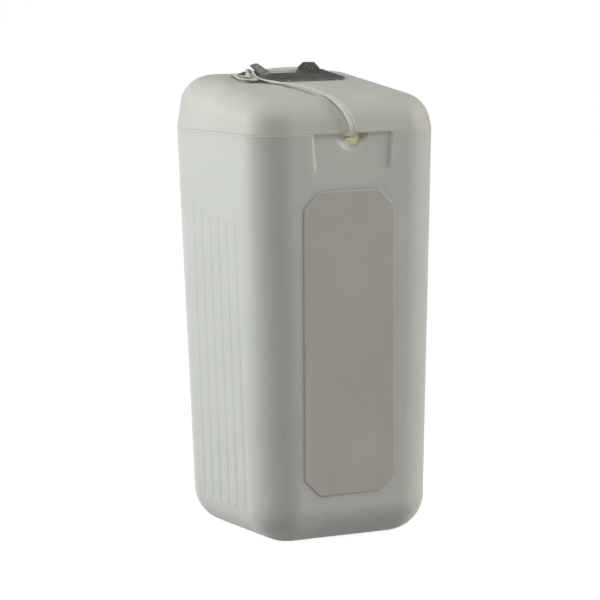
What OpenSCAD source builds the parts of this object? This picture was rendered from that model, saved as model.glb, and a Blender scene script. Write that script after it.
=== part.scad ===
// Floss dispenser: a tall milky case with a hinged cap, a steel cutter on the cap,
// a spool of floss on a post inside, and the floss drawn out over the cap.
// The front of the case faces -Y, and the origin is at the middle of its foot.

/* [Case] */
// Width of the case at the seam
case_w = 38; // [36:0.5:42]
// Depth of the case at the seam
case_d = 39.4; // [37:0.2:44]
// Height of the seam above the foot
seam_h = 73.9; // [68:0.5:84]
// Radius of the upright corners
corner_r = 7.5; // [7.2:0.1:8.5]
// Radius of the rounding round the foot
foot_r = 6.9; // [5:0.1:7]
// Lean of the side walls, in mm per mm of height
side_lean = 0.0243; // [0.01:0.001:0.03]
// Lean of the front and back walls, in mm per mm of height
front_lean = 0.0206; // [0.01:0.001:0.03]
// Thickness of the walls of the case and the cap
wall = 1.2; // [1:0.1:1.5]
// Thickness of the floor
floor_t = 1.4; // [1:0.1:2.5]
// Gap between the rims of the case and the cap
seam_gap = 0.15; // [0.1:0.05:0.3]

/* [Grip grooves] */
// Grooves on each side
groove_count = 6; // [4:1:7]
// Distance from groove to groove
groove_pitch = 3.46; // [3:0.02:3.6]
// Place of the middle of the row, from front to back
groove_mid = -0.95; // [-1.5:0.05:1]
// Radius of the groove's round section
groove_r = 0.62; // [0.5:0.02:0.8]
// Depth of a groove
groove_depth = 0.34; // [0.2:0.02:0.45]
// Height of the lower end of the grooves
groove_low = 4.6; // [3:0.1:8]
// Height of the upper end of the middle of the row
groove_high = 58.6; // [50:0.2:62]
// Rise of the upper ends to the back, in mm per mm
groove_rise = 0.133; // [0:0.005:0.2]

/* [Thumb recess and floss exit] */
// Width of the thumb recess at the seam
recess_w = 16.3; // [14:0.1:18]
// How much narrower the recess is at its lower end
recess_taper = 1.2; // [0:0.1:2]
// Height of the recess
recess_h = 7; // [6:0.1:9]
// Depth of the recess
recess_depth = 0.4; // [0.3:0.05:0.8]
// Radius of the round mouth of the floss exit
mouth_r = 3.3; // [2.8:0.1:3.8]
// Depth of the mouth
mouth_depth = 1.1; // [0.8:0.05:1.3]
// Width of the notch that the floss comes out of
notch_w = 2; // [1.8:0.05:2.4]
// Depth of the middle of the notch's round end under the seam
notch_drop = 0.95; // [0.8:0.05:1.2]
// Thickness of the pad behind the thumb recess
pad_t = 1; // [0.8:0.1:1.3]
// Thickness of the block behind the floss exit
block_t = 2; // [1.8:0.1:2.4]
// Width of the block behind the floss exit
block_w = 9; // [8:0.2:11]

/* [Cap] */
// Height of the cap's top above the seam, over its middle
lid_rise = 8; // [7.5:0.1:9]
// Slope of the top, in degrees
lid_tilt = 6.9; // [5.5:0.1:7.5]
// Radius of the rounding round the top
lid_edge_r = 5.65; // [4.8:0.05:6]
// Lean of the cap's sides, in mm per mm of height
lid_lean = 0.094; // [0.06:0.002:0.12]
// Thickness of the cap's top
lid_top_t = 1.7; // [1.5:0.1:2]
// Radius of the finger dish
dish_r = 7.4; // [6:0.1:7.8]
// Depth of the finger dish
dish_depth = 0.75; // [0.5:0.05:0.9]
// Place of the middle of the dish, from front to back
dish_y = -6.6; // [-7.5:0.1:-6.2]
// Depth of the locating lip under the seam
lip_depth = 2; // [1.5:0.1:2.5]
// Thickness of the lip
lip_t = 1; // [0.8:0.1:1.3]
// Clearance between the lip and the case
lip_gap = 0.3; // [0.25:0.05:0.4]
// Height of the lip's root above the seam
lip_root = 1.5; // [1.2:0.1:2]

/* [Hinge] */
// Radius of the knuckles
knuckle_r = 1.5; // [1.3:0.05:1.8]
// Radius of the pin
pin_r = 0.6; // [0.5:0.05:0.7]
// Clearance round the pin in the cap's knuckle
pin_clear = 0.05; // [0.03:0.01:0.08]
// Width over the whole hinge
hinge_w = 19; // [17:0.5:20]
// Width of the cap's knuckle
lid_knuckle_w = 8; // [6:0.2:10]
// Gap beside the cap's knuckle
knuckle_gap = 0.15; // [0.1:0.05:0.3]
// Gap between the knuckles and the back wall
hinge_gap = 0.25; // [0.2:0.05:0.5]
// Length of the gussets under and over the knuckles
gusset_l = 4; // [3:0.2:6]

/* [Cutter] */
// Width of the plate
plate_w = 20.4; // [19:0.2:21]
// Depth of the plate
plate_d = 10.9; // [10.2:0.1:11]
// Thickness of the plate
plate_t = 0.38; // [0.3:0.02:0.45]
// Place of the plate's front edge, from the middle of the cap
plate_front = 2.1; // [1.6:0.1:2.2]
// Cut across the plate's front corners
plate_cut = 1.1; // [0.5:0.1:1.4]
// Width of the clinched legs
leg_w = 4.4; // [3:0.2:5]
// Length of the clinched feet
leg_foot = 1.6; // [1:0.1:2]
// Clearance round the legs in their slots
slot_gap = 0.12; // [0.1:0.02:0.2]
// Height of the upright tooth
tooth_h = 2.35; // [1.8:0.05:2.5]
// Height of the hook tooth
hook_h = 2.65; // [2.2:0.05:2.8]
// Length of the hook tooth's foot
hook_foot = 3.7; // [3.2:0.1:3.9]
// How far the hook tooth leans out over its foot
hook_lean = 3.4; // [2.8:0.1:3.5]
// Length of the upright tooth's foot
tooth_foot = 4.1; // [3.4:0.1:4.3]
// Inset of the upright tooth's top corners
tooth_inset = 1; // [0.6:0.05:1.2]
// Width of the low ridge behind the plate
ridge_w = 15.4; // [12:0.2:16]
// Height of the ridge's arch above the cap
ridge_h = 0.6; // [0.3:0.05:0.8]
// Clearance between the ridge and the plate
ridge_gap = 0.15; // [0.1:0.05:0.3]

/* [Label] */
// Width of the label
label_w = 18.35; // [14:0.05:18.6]
// Height of the label
label_h = 54.9; // [45:0.1:55]
// Height of the label's lower edge
label_low = 8.8; // [8.2:0.1:10]
// Place of the label's middle, from side to side
label_x = -0.8; // [-0.9:0.1:0.9]
// Cut across the label's corners
label_cut = 3.1; // [1:0.1:4]
// Thickness of the label
label_t = 0.12; // [0.08:0.02:0.2]

/* [Spool] */
// Height of the spool's flange above the foot of the case
spool_z = 7; // [6.9:0.1:9]
// Clearance between the spool and the side walls
spool_gap = 0.8; // [0.6:0.1:1.5]
// Height of the spool
spool_h = 52; // [46:0.5:54]
// Thickness of the spool's flange
flange_t = 1.2; // [0.8:0.1:1.6]
// Radius of the spool's hub
hub_r = 6.5; // [5.8:0.1:8]
// Radius of the post
post_r = 4; // [3.6:0.1:4.4]
// Running clearance between the hub and the post
post_clear = 0.08; // [0.05:0.01:0.1]
// Radius of the boss that the post is pressed on
boss_r = 2.6; // [2:0.1:2.8]
// Height of the boss above the floor
boss_h = 5; // [4:0.2:6]
// Radius of the post's foot
foot_flange_r = 9; // [8:0.2:10]
// Radius of the shoulder under the spool
shoulder_r = 6; // [5:0.1:7]
// End play of the spool on the post
end_play = 0.3; // [0.2:0.05:0.5]
// Radius of the retainer's button
button_r = 8; // [7:0.1:9]
// Thickness of the retainer's button
button_t = 2; // [1.6:0.1:2.4]
// Length of the retainer's stem
stem_l = 6; // [4:0.5:8]
// How far the flange stands out past the winding
winding_inset = 0.5; // [0.3:0.1:1]
// Hub left bare above the winding
bare_hub = 1.6; // [1:0.1:3]
// Rounding of the winding's upper edge
winding_round = 3; // [2:0.1:4]

/* [Floss] */
// Width of the flat floss
floss_w = 1.55; // [1.2:0.05:1.7]
// Thickness of the flat floss
floss_t = 0.22; // [0.15:0.01:0.3]

/* [Hidden] */

// Facets of the hulled shells' rounded corners, and of turned pieces
SHELL_FN = 36;
ROUND_FN = 64;
// Overrun of cutting shapes, and thickness of the discs that shells are hulled from
over = 1;
skin = 0.01;

// Half sizes of the case's outside at a height
function side_x(z) = case_w / 2 - side_lean * (seam_h - z);
function front_y(z) = case_d / 2 - front_lean * (seam_h - z);

// Rims, floor and inner sizes
body_rim = seam_h - seam_gap / 2;
lid_rim = seam_h + seam_gap / 2;
side_angle = atan(side_lean);
front_angle = atan(front_lean);

// Hinge axis
hinge_y = case_d / 2 + knuckle_r + hinge_gap;
hinge_z = seam_h;
body_knuckle_w = (hinge_w - lid_knuckle_w) / 2 - knuckle_gap;

// Spool, from the post's foot up
spool_r = side_x(spool_z) - wall - spool_gap;
spool_top = spool_z + spool_h;
post_top = spool_top + end_play;
flange_top = spool_z + flange_t;
winding_r = spool_r - winding_inset;
winding_top = spool_top - bare_hub;

// Cutter places on the sloping top: the plate's shift to one side, its cut back corner, the window
// that the teeth stand at, the teeth's feet and turns, and the ridge behind the plate
plate_back = plate_front + plate_d;
plate_x = 0.3;
plate_corner = 4.3;
window_x = 1.6;
window_w = 7.2;
window_d = 2.8;
hook_at = [-4.2, 8.8];
hook_turn = 24;
tooth_at = [4.03, 10.07];
tooth_turn = -12.2;
tooth_shoulder = 1.35;
ridge_x = 4.5;
ridge_front = plate_back + ridge_gap;
ridge_d = 2.2;
leg_y = plate_front + plate_d / 2;
hook_top_w = 1.95;
hook_drop = 0.2;
hole_gap = 0.12;

// Layer of glue under the label
label_gap = 0.01;

// How far the pad reaches past the thumb recess, and the lip's end from the pad
pad_edge = 1;
lip_end = 1.5;
function pad_w() = recess_w + 2 * pad_edge;

// Size of the sphere that cuts a round dish of a given radius and depth
function dish_sphere(r, depth) = (r * r + depth * depth) / (2 * depth);

// A rounded rectangle about the origin, with true arcs
module round_rect(w, d, r) {
    square([w - 2 * r, d], center = true);
    square([w, d - 2 * r], center = true);
    for (x = [-1, 1], y = [-1, 1])
        translate([x * (w / 2 - r), y * (d / 2 - r)]) circle(r = r, $fn = ROUND_FN);
}

// Its copies at the four corners
module at_corners(x, y, z) {
    for (i = [-1, 1], j = [-1, 1]) translate([i * x, j * y, z]) children();
}

// A disc with a rounded lower edge, its flat face down and its widest circle at z = 0
module foot_disc(r, edge) {
    steps = SHELL_FN / 4;
    arc = [for (i = [0:steps]) [r - edge + edge * sin(90 * i / steps), -edge * cos(90 * i / steps)]];
    rotate_extrude($fn = SHELL_FN) polygon(concat([[0, -edge]], arc, [[0, 0]]));
}

// The case's form, drawn in by a wall thickness, from a floor height up to a rim height
module case_form(inset, low, high) {
    r = corner_r - inset;
    edge = foot_r - inset;
    hull() {
        at_corners(side_x(high) - inset - r, front_y(high) - inset - r, high - skin)
            cylinder(r = r, h = skin, $fn = SHELL_FN);
        at_corners(side_x(low + edge) - inset - r, front_y(low + edge) - inset - r, low + edge)
            foot_disc(r, edge);
    }
}

// Where the frame of the cap's sloping top lies
module on_top() {
    translate([0, 0, seam_h + lid_rise]) rotate([lid_tilt, 0, 0]) children();
}

// Lean of the cap's wall at the height of its edge rounding, and where that rounding turns
function edge_h(y, depth, edge) = lid_rise + tan(lid_tilt) * y - (depth + edge) / cos(lid_tilt);
function edge_lean(y, depth, edge) = lid_lean * (edge_h(y, depth, edge) + edge / 4);
function edge_y(y, depth, edge) = (y - (depth + edge) * sin(lid_tilt)) / cos(lid_tilt);

// The cap's form, drawn in by a wall thickness and lowered by the top's thickness
module lid_form(inset, depth, low) {
    r = corner_r - inset;
    edge = lid_edge_r - inset;
    base_x = case_w / 2 - inset - r;
    base_y = case_d / 2 - inset - r;
    hull() {
        at_corners(base_x, base_y, low) cylinder(r = r, h = skin, $fn = SHELL_FN);
        for (j = [-1, 1]) {
            lean = edge_lean(j * base_y, depth, edge);
            y = j * (base_y - lean);
            for (i = [-1, 1]) on_top()
                translate([i * (base_x - lean), edge_y(y, depth, edge), -depth - edge])
                    mirror([0, 0, 1]) foot_disc(r, edge);
        }
    }
}

// The case's outside, cut by its grooves, thumb recess and floss exit
module grooves() {
    first = groove_mid - groove_pitch * (groove_count - 1) / 2;
    for (side = [-1, 1], i = [0:groove_count - 1]) {
        y = first + i * groove_pitch;
        top = groove_high + groove_rise * (y - groove_mid);
        translate([side * (side_x(groove_low) + groove_r - groove_depth), y, groove_low])
            rotate([0, side * side_angle, 0]) {
                cylinder(r = groove_r, h = top - groove_low, $fn = ROUND_FN);
                translate([0, 0, top - groove_low]) sphere(r = groove_r, $fn = ROUND_FN);
            }
    }
}

module thumb_recess() {
    low = seam_h - recess_h;
    deep = 4;
    half = recess_w / 2;
    translate([0, recess_depth - front_y(low), low]) rotate([90 + front_angle, 0, 0])
        linear_extrude(deep) polygon([
            [-half + recess_taper / 2, 0], [half - recess_taper / 2, 0],
            [half, recess_h], [half, recess_h + over], [-half, recess_h + over], [-half, recess_h]]);
}

module floss_exit() {
    r = dish_sphere(mouth_r, mouth_depth);
    face = front_y(seam_h) - recess_depth;
    translate([0, -face - r + mouth_depth, seam_h]) sphere(r = r, $fn = ROUND_FN);
    reach = block_t + wall + over;
    translate([0, -face + reach, seam_h - notch_drop]) rotate([90, 0, 0])
        cylinder(r = notch_w / 2, h = 2 * reach, $fn = ROUND_FN);
    translate([-notch_w / 2, -face - reach, seam_h - notch_drop])
        cube([notch_w, 2 * reach, notch_drop + over]);
}

module pads() {
    pad_low = body_rim - recess_h - 2 * pad_edge;
    block_low = body_rim - recess_h;
    back = wall / 2;
    translate([-pad_w() / 2, -front_y(pad_low) + back, pad_low])
        cube([pad_w(), wall - back + pad_t, body_rim - pad_low]);
    translate([-block_w / 2, -front_y(block_low) + back, block_low])
        cube([block_w, wall - back + block_t, body_rim - block_low]);
}

// A hinge knuckle along X, centred on the hinge axis
module knuckle(w, bore) {
    translate([-w / 2, hinge_y, hinge_z]) rotate([0, 90, 0]) difference() {
        cylinder(r = knuckle_r, h = w, $fn = ROUND_FN);
        translate([0, 0, -over]) cylinder(r = bore, h = w + 2 * over, $fn = ROUND_FN);
    }
}

// A gusset from a knuckle to the back wall: up for the cap, down for the case
module gusset(w, side, bore) {
    root = wall / 2;
    out = knuckle_r * cos(45);
    difference() {
        translate([-w / 2, hinge_y, hinge_z]) rotate([90, 0, 90]) linear_extrude(w) polygon([
            [-knuckle_r - hinge_gap - root, side * seam_gap / 2], [0, side * seam_gap / 2],
            [out, side * out], [-knuckle_r - hinge_gap - root, side * gusset_l]]);
        translate([-w / 2 - over, hinge_y, hinge_z]) rotate([0, 90, 0])
            cylinder(r = bore, h = w + 2 * over, $fn = ROUND_FN);
    }
}

module body_shell() {
    color([0.83, 0.84, 0.81]) {
        difference() {
            union() {
                difference() {
                    case_form(0, 0, body_rim);
                    case_form(wall, floor_t, body_rim + over);
                }
                pads();
                translate([0, 0, floor_t / 2])
                    cylinder(r = boss_r, h = floor_t / 2 + boss_h, $fn = ROUND_FN);
            }
            grooves();
            thumb_recess();
            floss_exit();
        }
        for (side = [-1, 1])
            translate([side * (hinge_w - body_knuckle_w) / 2, 0, 0]) {
                knuckle(body_knuckle_w, pin_r);
                gusset(body_knuckle_w, -1, pin_r);
            }
    }
}

// The lip is a ring inside the case's rim, with a wider root joined to the cap's wall
module lip() {
    inner = wall + lip_gap + lip_t;
    gap_w = pad_w() + 2 * lip_end;
    difference() {
        union() {
            translate([0, 0, seam_h - lip_depth]) linear_extrude(lip_depth + lip_root)
                round_rect(case_w - 2 * (wall + lip_gap), case_d - 2 * (wall + lip_gap), corner_r - wall);
            translate([0, 0, lid_rim]) linear_extrude(seam_h + lip_root - lid_rim)
                round_rect(case_w - wall, case_d - wall, corner_r - wall / 2);
        }
        translate([0, 0, seam_h - lip_depth - over]) linear_extrude(lip_depth + lip_root + 2 * over)
            round_rect(case_w - 2 * inner, case_d - 2 * inner, corner_r - inner);
        translate([-gap_w / 2, -case_d / 2, seam_h - lip_depth - over])
            cube([gap_w, case_d / 4, lip_depth + over + seam_gap / 2]);
    }
}

// A low ridge behind the cutter, arched from side to side
module back_ridge() {
    arch_r = dish_sphere(ridge_w / 2, ridge_h);
    intersection() {
        translate([ridge_x, ridge_front + ridge_d, ridge_h - arch_r]) rotate([90, 0, 0])
            cylinder(r = arch_r, h = ridge_d, $fn = 4 * ROUND_FN);
        translate([ridge_x - ridge_w / 2, ridge_front, -lid_top_t / 2])
            cube([ridge_w, ridge_d, 2 * lid_top_t]);
    }
}

module leg_slots() {
    for (side = [-1, 1])
        translate([plate_x + side * (plate_w - plate_t) / 2, leg_y, -lid_top_t])
            cube([plate_t + 2 * slot_gap, leg_w + 2 * slot_gap, 3 * lid_top_t], center = true);
}

module lid_shell() {
    sphere_r = dish_sphere(dish_r, dish_depth);
    color([0.80, 0.81, 0.78]) {
        difference() {
            union() {
                difference() {
                    lid_form(0, 0, lid_rim);
                    lid_form(wall, lid_top_t, lid_rim - over);
                    translate([-case_w, -case_d, lid_rim - over]) cube([2 * case_w, 2 * case_d, over]);
                }
                lip();
                on_top() back_ridge();
            }
            on_top() translate([0, dish_y, sphere_r - dish_depth]) sphere(r = sphere_r, $fn = 2 * ROUND_FN);
            on_top() leg_slots();
        }
        knuckle(lid_knuckle_w, pin_r + pin_clear);
        gusset(lid_knuckle_w, 1, pin_r + pin_clear);
    }
}

module hinge_pin() {
    color([0.62, 0.63, 0.65])
        translate([-hinge_w / 2, hinge_y, hinge_z]) rotate([0, 90, 0])
            cylinder(r = pin_r, h = hinge_w, $fn = ROUND_FN);
}

// A tooth as a flat outline, with its foot along X from the origin
module hook_outline() {
    polygon([[0, 0], [hook_foot, 0], [hook_top_w - hook_lean, hook_h], [-hook_lean, hook_h - hook_drop]]);
}

module tooth_outline() {
    polygon([
        [0, 0], [tooth_foot, 0], [tooth_foot, tooth_shoulder], [tooth_foot - tooth_inset, tooth_h],
        [tooth_inset, tooth_h], [0, tooth_shoulder]]);
}

// A tooth bent up from the plate, or the hole that it leaves behind its foot
module tooth_up(at, turn) {
    translate([at[0], at[1], 0]) rotate([0, 0, turn]) rotate([90, 0, 0])
        linear_extrude(plate_t) children();
}

module tooth_hole(at, turn) {
    translate([at[0], at[1], -over]) rotate([0, 0, turn]) translate([0, hole_gap])
        linear_extrude(plate_t + 2 * over) children();
}

module plate_outline() {
    left = plate_x - plate_w / 2;
    right = plate_x + plate_w / 2;
    difference() {
        polygon([
            [left + plate_cut, plate_front], [right - plate_cut, plate_front],
            [right, plate_front + plate_cut], [right, plate_back], [left + plate_corner, plate_back],
            [left, plate_back - plate_corner], [left, plate_front + plate_cut]]);
        translate([window_x - window_w / 2, plate_back - window_d]) square([window_w, window_d + over]);
    }
}

module cutter_plate() {
    color([0.42, 0.42, 0.43]) on_top() {
        difference() {
            linear_extrude(plate_t) plate_outline();
            tooth_hole(hook_at, hook_turn) hook_outline();
            tooth_hole(tooth_at, tooth_turn) tooth_outline();
        }
        tooth_up(hook_at, hook_turn) hook_outline();
        tooth_up(tooth_at, tooth_turn) tooth_outline();
        drop = lid_top_t + slot_gap + plate_t;
        for (side = [-1, 1])
            translate([plate_x + side * (plate_w - plate_t) / 2, leg_y, 0]) {
                translate([-plate_t / 2, -leg_w / 2, -drop]) cube([plate_t, leg_w, drop + plate_t]);
                translate([-side * leg_foot / 2, 0, plate_t / 2 - drop])
                    cube([leg_foot, leg_w, plate_t], center = true);
            }
    }
}

module front_label() {
    w = label_w / 2;
    color([0.72, 0.70, 0.68])
        translate([label_x, -front_y(label_low) - label_gap, label_low]) rotate([90 + front_angle, 0, 0])
            linear_extrude(label_t) polygon([
                [-w + label_cut, 0], [w - label_cut, 0], [w, label_cut], [w, label_h - label_cut],
                [w - label_cut, label_h], [-w + label_cut, label_h],
                [-w, label_h - label_cut], [-w, label_cut]]);
}

module spool_post() {
    skirt = flange_t;
    color([0.86, 0.86, 0.84]) rotate_extrude($fn = ROUND_FN) polygon([
        [boss_r, floor_t], [foot_flange_r, floor_t], [foot_flange_r, floor_t + skirt],
        [shoulder_r, floor_t + 2 * skirt], [shoulder_r, spool_z], [post_r, spool_z],
        [post_r, post_top], [boss_r, post_top]]);
}

module spool_core() {
    bore = post_r + post_clear;
    color([0.90, 0.90, 0.88]) rotate_extrude($fn = ROUND_FN) polygon([
        [bore, spool_z], [spool_r, spool_z], [spool_r, flange_top],
        [hub_r, flange_top], [hub_r, spool_top], [bore, spool_top]]);
}

module floss_winding() {
    steps = 8;
    arc = [for (i = [0:steps]) [
        winding_r - winding_round + winding_round * cos(90 * i / steps),
        winding_top - winding_round + winding_round * sin(90 * i / steps)]];
    color([0.93, 0.93, 0.90]) rotate_extrude($fn = ROUND_FN)
        polygon(concat([[hub_r, flange_top], [winding_r, flange_top]], arc, [[hub_r, winding_top]]));
}

module spool_retainer() {
    edge = button_t / 2;
    steps = 8;
    arc = [for (i = [0:steps]) [
        button_r - edge + edge * sin(180 * i / steps), post_top + edge - edge * cos(180 * i / steps)]];
    color([0.86, 0.86, 0.84]) rotate_extrude($fn = ROUND_FN) polygon(concat(
        [[0, post_top - stem_l], [boss_r, post_top - stem_l], [boss_r, post_top]],
        arc, [[0, post_top + button_t]]));
}

// Point number i of a smooth curve through a list of points, at a share t of the way on
function pick(p, i) = p[max(0, min(len(p) - 1, i))];
function smooth(p, i, t) = let (a = pick(p, i - 1), b = pick(p, i), c = pick(p, i + 1), d = pick(p, i + 2))
    (2 * b + (c - a) * t + (2 * a - 5 * b + 4 * c - d) * t * t + (3 * b - a - 3 * c + d) * t * t * t) / 2;
function along(p, n) =
    concat([for (i = [0:len(p) - 2], k = [0:n - 1]) smooth(p, i, k / n)], [p[len(p) - 1]]);
function unit(v) = v / norm(v);

// A flat strand of eight sides along a route. Each place has a direction for its width
module strand(route, across, per_step) {
    n = 8;
    path = along(route, per_step);
    wide = along(across, per_step);
    last = len(path) - 1;
    ring = [for (k = [0:n - 1]) let (a = 360 * (k + 0.5) / n) [cos(a), sin(a)] / cos(180 / n)];
    points = [for (i = [0:last], q = ring)
        let (way = unit(path[min(last, i + 1)] - path[max(0, i - 1)]),
             w = unit(wide[i] - way * (wide[i] * way)),
             up = cross(way, w))
        path[i] + w * (q[0] * floss_w / 2) + up * (q[1] * floss_t / 2)];
    sides = [for (i = [0:last - 1], k = [0:n - 1])
        let (a = n * i + k, b = n * i + (k + 1) % n) each [[a, a + n, b + n], [a, b + n, b]]];
    ends = [[for (k = [0:n - 1]) k], [for (k = [0:n - 1]) n * last + n - 1 - k]];
    polyhedron(points = points, faces = concat(ends, sides));
}

// Routes are measured from the middle of the case's front edge at the seam
function from_exit(route) = [for (p = route) p + [0, -case_d / 2, seam_h]];

// Route of the floss inside, from the winding's shoulder to the exit, and its width's direction
lead_route = [[3.2, 6.3, -16.7], [2.6, 5.8, -13.9], [1.6, 5.3, -8.9], [0.7, 4.8, -4.4], [0.2, 4.4, -2.1],
              [0, 3.6, -1.1], [0, 2.5, -0.95], [0, 1.5, -0.95]];
lead_across = [[1, 0, 0], [1, 0, 0], [1, 0, 0], [1, 0, 0], [1, 0, 0], [1, 0, 0], [1, 0, 0], [1, 0, 0]];

// Route of the floss outside: out of the exit, up the cap's front, over the dish and the plate's
// front edge, round the hook tooth's tip, back to the plate's corner, and to its cut end
ribbon_route = [[0, 1.5, -0.95], [0, 0.4, -0.9], [-0.2, -0.4, -0.3], [-0.5, -0.7, 0.9],
                [-0.9, -0.6, 2.3], [-1.5, 0.1, 3.9], [-2.2, 1.5, 5.3], [-2.5, 3.8, 6.2],
                [-2.4, 6.4, 6.65], [-1.9, 9.75, 7.05], [-1.7, 12.5, 7.35], [-2.3, 16.3, 7.85],
                [-4.2, 18.6, 8.2], [-6.2, 20.5, 8.6], [-7.1, 22.6, 9], [-7.2, 24.45, 9.45],
                [-6.9, 26.1, 10.05], [-6.75, 27.35, 10.35], [-7.15, 27.85, 10.35],
                [-7.45, 27.2, 10.2], [-7.9, 25.5, 9.8], [-8.6, 23.8, 9.4], [-9.3, 22.5, 9.15],
                [-9.9, 22.6, 9.1], [-10, 24.2, 9.25], [-9.95, 26.2, 9.45], [-9.9, 28.3, 9.65]];
ribbon_across = [[1, 0, 0], [1, 0, 0], [1, 0, 0], [1, 0, 0], [1, 0, 0], [1, 0, 0], [1, 0, 0],
                 [1, 0, 0], [1, 0, 0], [1, 0, 0], [1, 0.2, 0], [0.9, 0.4, 0], [0.6, 0.8, 0],
                 [0.8, 0.5, 0], [0.9, 0.2, -0.2], [0.85, 0.2, -0.4], [0.8, 0.25, -0.5],
                 [0.75, 0.3, -0.6], [0.75, 0.3, -0.6], [0.75, 0.3, -0.6], [0.8, 0.1, -0.5],
                 [0.9, -0.3, -0.3], [0.5, -0.8, -0.2], [-0.8, -0.5, 0], [-1, -0.1, 0],
                 [-1, 0, 0], [-1, 0, 0]];

module floss_lead() {
    color([0.93, 0.93, 0.90]) strand(from_exit(lead_route), lead_across, 2);
}

module floss_ribbon() {
    color([0.95, 0.95, 0.92]) strand(from_exit(ribbon_route), ribbon_across, 2);
}

body_shell();
lid_shell();
hinge_pin();
cutter_plate();
front_label();
spool_post();
spool_core();
floss_winding();
spool_retainer();
floss_lead();
floss_ribbon();
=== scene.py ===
import math

import bmesh
import bpy
from mathutils import Matrix, Vector


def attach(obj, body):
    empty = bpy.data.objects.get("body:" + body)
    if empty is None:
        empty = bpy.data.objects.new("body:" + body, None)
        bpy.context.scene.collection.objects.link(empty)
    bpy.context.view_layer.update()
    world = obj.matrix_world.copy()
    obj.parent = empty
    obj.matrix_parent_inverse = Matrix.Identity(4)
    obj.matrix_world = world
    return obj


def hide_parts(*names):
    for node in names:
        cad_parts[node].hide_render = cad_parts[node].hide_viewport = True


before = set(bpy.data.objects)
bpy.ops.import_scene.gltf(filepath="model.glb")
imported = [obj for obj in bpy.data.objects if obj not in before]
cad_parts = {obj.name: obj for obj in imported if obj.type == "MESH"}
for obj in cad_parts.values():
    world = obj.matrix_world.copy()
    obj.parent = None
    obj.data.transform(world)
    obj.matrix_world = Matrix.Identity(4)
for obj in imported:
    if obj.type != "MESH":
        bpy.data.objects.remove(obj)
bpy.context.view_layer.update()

MM = 0.001

# Sizes of the real object, in mm
CASE_HALF = (19.0, 19.7)
SEAM = 73.9
SEAM_GAP = 0.04
CORNER = 7.5
FOOT_ROUND = 6.9
SIDE_LEAN = 0.0243
FRONT_LEAN = 0.0206
WALL = 1.2
FLOOR = 1.4
CAP_TOP = 8.0
CAP_TILT = math.radians(6.9)
CAP_ROUND = 5.65
CAP_LEAN = 0.094
CAP_THICK = 1.7
RECESS_DEEP = 0.4
EDGE_ROUND = 0.1

# The hinge in mm: where its line runs in Y and Z, and its knuckles
HINGE = (21.45, 73.9)
PIN_RADIUS = 0.6
PIN_BORE = 0.65
KNUCKLE_RADIUS = 1.5
CASE_KNUCKLE = 5.35
CAP_KNUCKLE = 8
HINGE_HALF = 9.5

# The cutter in the frame of the cap's sloping top: the plate, its legs, and each tooth's outline,
# place and turn
PLATE_THICK = 0.38
PLATE_HALF = 10.2
PLATE_X = 0.3
PLATE_FRONT = 2.1
PLATE_BACK = 13.0
LEG_Y = (PLATE_FRONT + PLATE_BACK) / 2
LEG_HALF = 2.2
LEG_GAP = 0.12
LEG_PLACES = [PLATE_X + side * (PLATE_HALF - PLATE_THICK / 2) for side in (-1, 1)]
HOOK = [(0, 0), (3.7, 0), (-1.45, 2.65), (-3.4, 2.45)]
TOOTH = [(0, 0), (4.1, 0), (4.1, 1.35), (3.1, 2.35), (1, 2.35), (0, 1.35)]
TEETH = [(HOOK, (-4.2, 8.8), 24), (TOOTH, (4.03, 10.07), -12.2)]

# The camera as fitted to the photograph: its place in mm, the ways it calls right and up, and its
# focal length in pixels of a photograph 600 pixels wide
CAMERA_AT = (-243.84, -481.57, 106.51)
CAMERA_RIGHT = (0.89214191, -0.45154958, -0.01363074)
CAMERA_UP = (0.06563382, 0.09970423, 0.99285007)
FOCAL_PIXELS = 2948.89
PHOTO_PIXELS = 600
SENSOR_WIDTH = 36


# The camera stands where the photograph was taken from

def place_camera():
    bpy.ops.object.camera_add()
    camera = bpy.context.object
    camera.name = "front_left_camera"
    right, up = Vector(CAMERA_RIGHT), Vector(CAMERA_UP)
    back = right.cross(up)
    turn = Matrix((right, up, back)).transposed().to_4x4()
    camera.matrix_world = Matrix.Translation(Vector(CAMERA_AT) * MM) @ turn
    camera.data.sensor_width = SENSOR_WIDTH
    camera.data.lens = FOCAL_PIXELS * SENSOR_WIDTH / PHOTO_PIXELS
    camera.data.clip_start = 0.01
    bpy.context.scene.camera = camera


# Small tools for modelling

def deselect():
    if bpy.context.mode != "OBJECT":
        bpy.ops.object.mode_set(mode="OBJECT")
    bpy.ops.object.select_all(action="DESELECT")


def choose(piece):
    deselect()
    piece.select_set(True)
    bpy.context.view_layer.objects.active = piece


def settle(piece):
    choose(piece)
    bpy.ops.object.transform_apply(location=True, rotation=True, scale=True)


def finish_with(piece, kind, **settings):
    choose(piece)
    step = piece.modifiers.new(kind.lower(), kind)
    for setting, value in settings.items():
        setattr(step, setting, value)
    bpy.ops.object.modifier_apply(modifier=step.name)


def carve(piece, tool, operation="DIFFERENCE"):
    finish_with(piece, "BOOLEAN", object=tool, operation=operation, solver="EXACT")
    bpy.data.objects.remove(tool)


def pick(piece, kind, test):
    """Goes into edit mode with the edges, faces or corners that pass the test selected"""
    choose(piece)
    bpy.ops.object.mode_set(mode="EDIT")
    bpy.ops.mesh.select_mode(type=kind)
    bpy.ops.mesh.select_all(action="DESELECT")
    sketch = bmesh.from_edit_mesh(piece.data)
    parts = {"EDGE": sketch.edges, "FACE": sketch.faces, "VERT": sketch.verts}[kind]
    for part in parts:
        if test(part):
            part.select_set(True)
    bmesh.update_edit_mesh(piece.data)


def leave_edit():
    bpy.ops.object.mode_set(mode="OBJECT")


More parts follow.
